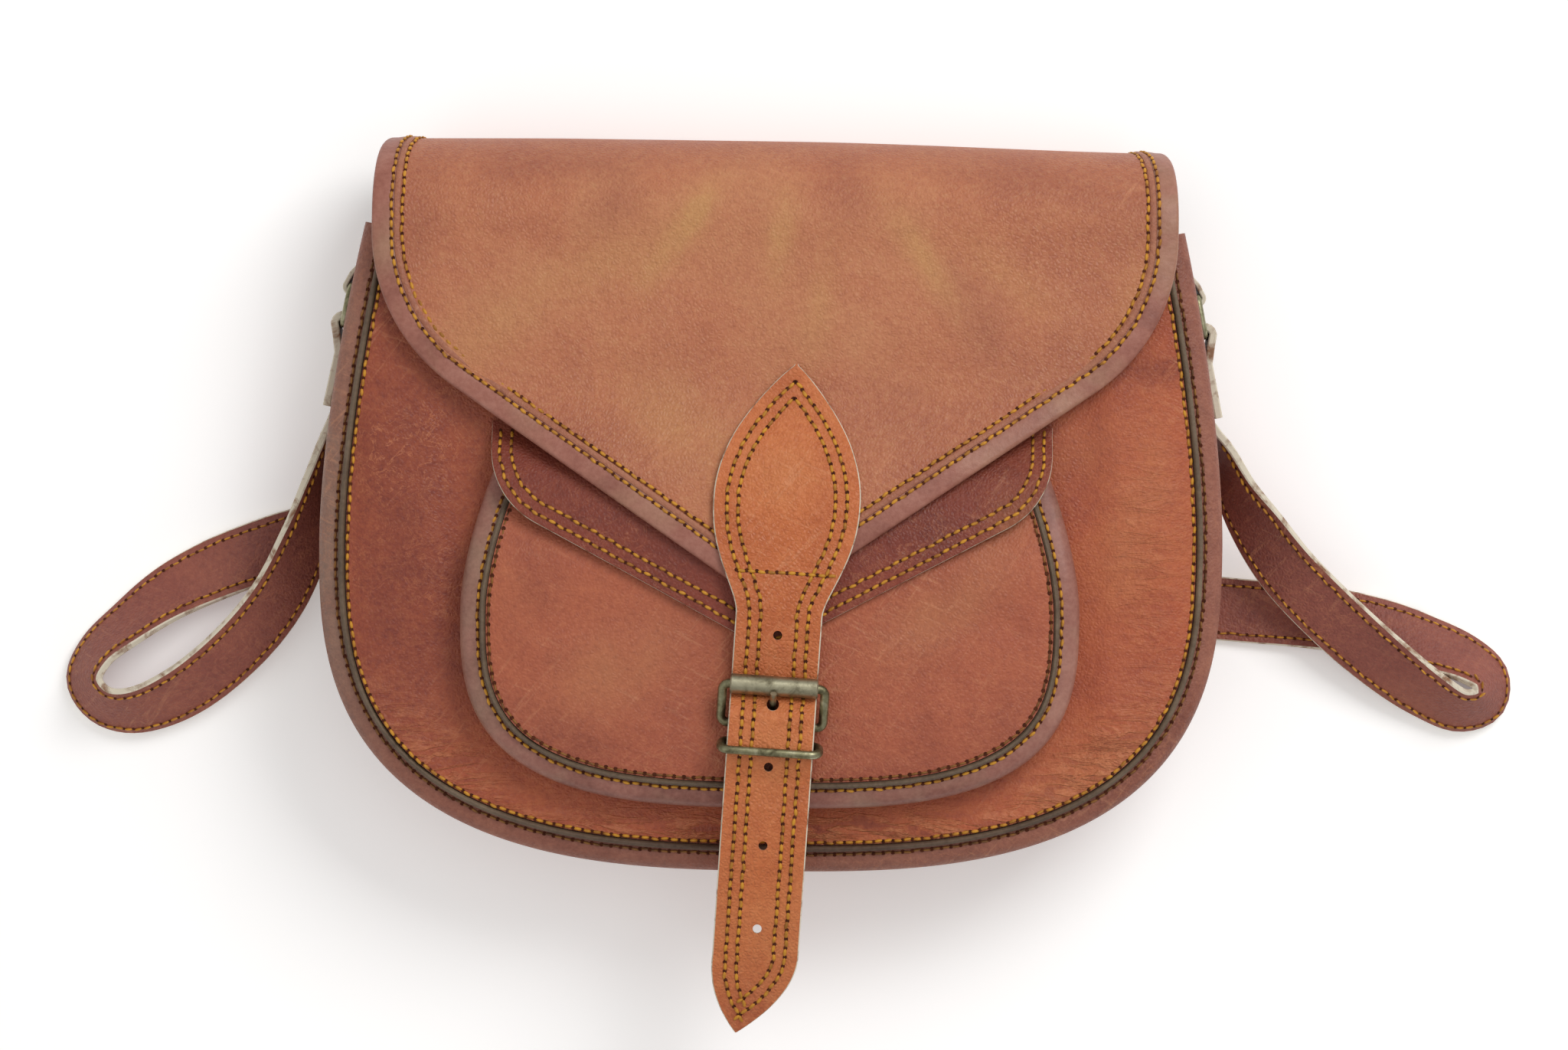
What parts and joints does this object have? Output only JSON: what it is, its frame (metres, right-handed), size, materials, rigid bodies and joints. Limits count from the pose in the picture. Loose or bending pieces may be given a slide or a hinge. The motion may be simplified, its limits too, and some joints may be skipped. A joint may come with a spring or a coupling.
{
  "type": "satchel bag",
  "caption": "Leather saddle satchel with a pointed front flap, a buckled closure strap over a front pocket and a looped shoulder strap, lying on its back.",
  "frame": {"origin": "under the middle of the bag, on the flat underside of the shoulder strap where it crosses the back; z = 0 is the surface the bag lies on", "axes": "+Z out of the bag's front, +Y towards the fold of the flap, +X to the right as one faces the front"},
  "size_m": [0.4554, 0.2768, 0.0806],
  "materials": {
    "back_panel": "oiled pull-up leather",
    "front_panel": "oiled pull-up leather",
    "gusset": "oiled pull-up leather",
    "front_binding": "raw folded leather edge, waxed",
    "back_binding": "raw folded leather edge, waxed",
    "flap_fold": "oiled pull-up leather",
    "main_flap": "oiled pull-up leather",
    "flap_binding": "oiled pull-up leather",
    "closure_strap": "oiled pull-up leather",
    "closure_strap_backing": "oiled pull-up leather",
    "buckle_tab": "oiled pull-up leather",
    "pocket_panel": "oiled pull-up leather",
    "pocket_gusset": "oiled pull-up leather",
    "pocket_binding": "raw folded leather edge, waxed",
    "pocket_flap": "oiled pull-up leather",
    "left_ring_tab": "oiled pull-up leather",
    "right_ring_tab": "oiled pull-up leather",
    "shoulder_strap": "oiled pull-up leather",
    "lining": "plain cotton canvas",
    "buckle_frame": "antiqued brass",
    "buckle_roller": "antiqued brass",
    "buckle_prong": "antiqued brass",
    "strap_keeper": "antiqued brass",
    "left_ring": "antiqued brass",
    "right_ring": "antiqued brass"
  },
  "bodies": {
    "bag": {"back_panel": "back_panel", "front_panel": "front_panel", "gusset": "gusset", "front_binding": "front_binding", "back_binding": "back_binding", "lining": "lining", "flap_fold": "flap_fold", "buckle_tab": "buckle_tab", "pocket_panel": "pocket_panel", "pocket_gusset": "pocket_gusset", "pocket_binding": "pocket_binding", "left_ring_tab": "left_ring_tab", "right_ring_tab": "right_ring_tab", "shoulder_strap": "shoulder_strap"},
    "flap": {"main_flap": "main_flap", "flap_binding": "flap_binding", "closure_strap": "closure_strap", "closure_strap_backing": "closure_strap_backing"},
    "pocket_flap": {"pocket_flap": "pocket_flap"},
    "buckle": {"buckle_frame": "buckle_frame"},
    "roller": {"buckle_roller": "buckle_roller"},
    "prong": {"buckle_prong": "buckle_prong"},
    "keeper": {"strap_keeper": "strap_keeper"},
    "left_ring": {"left_ring": "left_ring"},
    "right_ring": {"right_ring": "right_ring"}
  },
  "joints": [
    {"name": "flap_hinge", "type": "hinge", "parent": "bag", "child": "flap", "pos_m": [0, 0.13355, 0.02895], "axis": [-1, 0, 0], "range_deg": [0, 170], "deforming": ["flap_fold", "closure_strap", "closure_strap_backing"]},
    {"name": "pocket_flap_hinge", "type": "hinge", "parent": "bag", "child": "pocket_flap", "pos_m": [0, 0.046, 0.0524], "axis": [-1, 0, 0], "range_deg": [0, 86]},
    {"name": "buckle_swing", "type": "hinge", "parent": "bag", "child": "buckle", "pos_m": [0.00099, -0.04659, 0.0706], "axis": [0.9984, -0.0558, 0], "range_deg": [0, 35]},
    {"name": "roller_spin", "type": "hinge", "parent": "buckle", "child": "roller", "pos_m": [0.00166, -0.03461, 0.07443], "axis": [0.9984, -0.0558, 0], "continuous": true},
    {"name": "prong_tilt", "type": "hinge", "parent": "buckle", "child": "prong", "pos_m": [0.00099, -0.04659, 0.0706], "axis": [0.9984, -0.0558, 0], "range_deg": [0, 25]},
    {"name": "keeper_swing", "type": "hinge", "parent": "bag", "child": "keeper", "pos_m": [0.00068, -0.05218, 0.0706], "axis": [0.9984, -0.0558, 0], "range_deg": [-8, 8]},
    {"name": "left_ring_swing", "type": "hinge", "parent": "bag", "child": "left_ring", "pos_m": [-0.13163, 0.08726, 0.025], "axis": [0, 0, -1], "range_deg": [-8, 35], "deforming": ["shoulder_strap"]},
    {"name": "right_ring_swing", "type": "hinge", "parent": "bag", "child": "right_ring", "pos_m": [0.13163, 0.08726, 0.025], "axis": [0, 0, 1], "range_deg": [-8, 35]}
  ],
  "couplings": [
    {"joint": "pocket_flap_hinge", "follows": "flap_hinge", "ratio": 0.5}
  ]
}
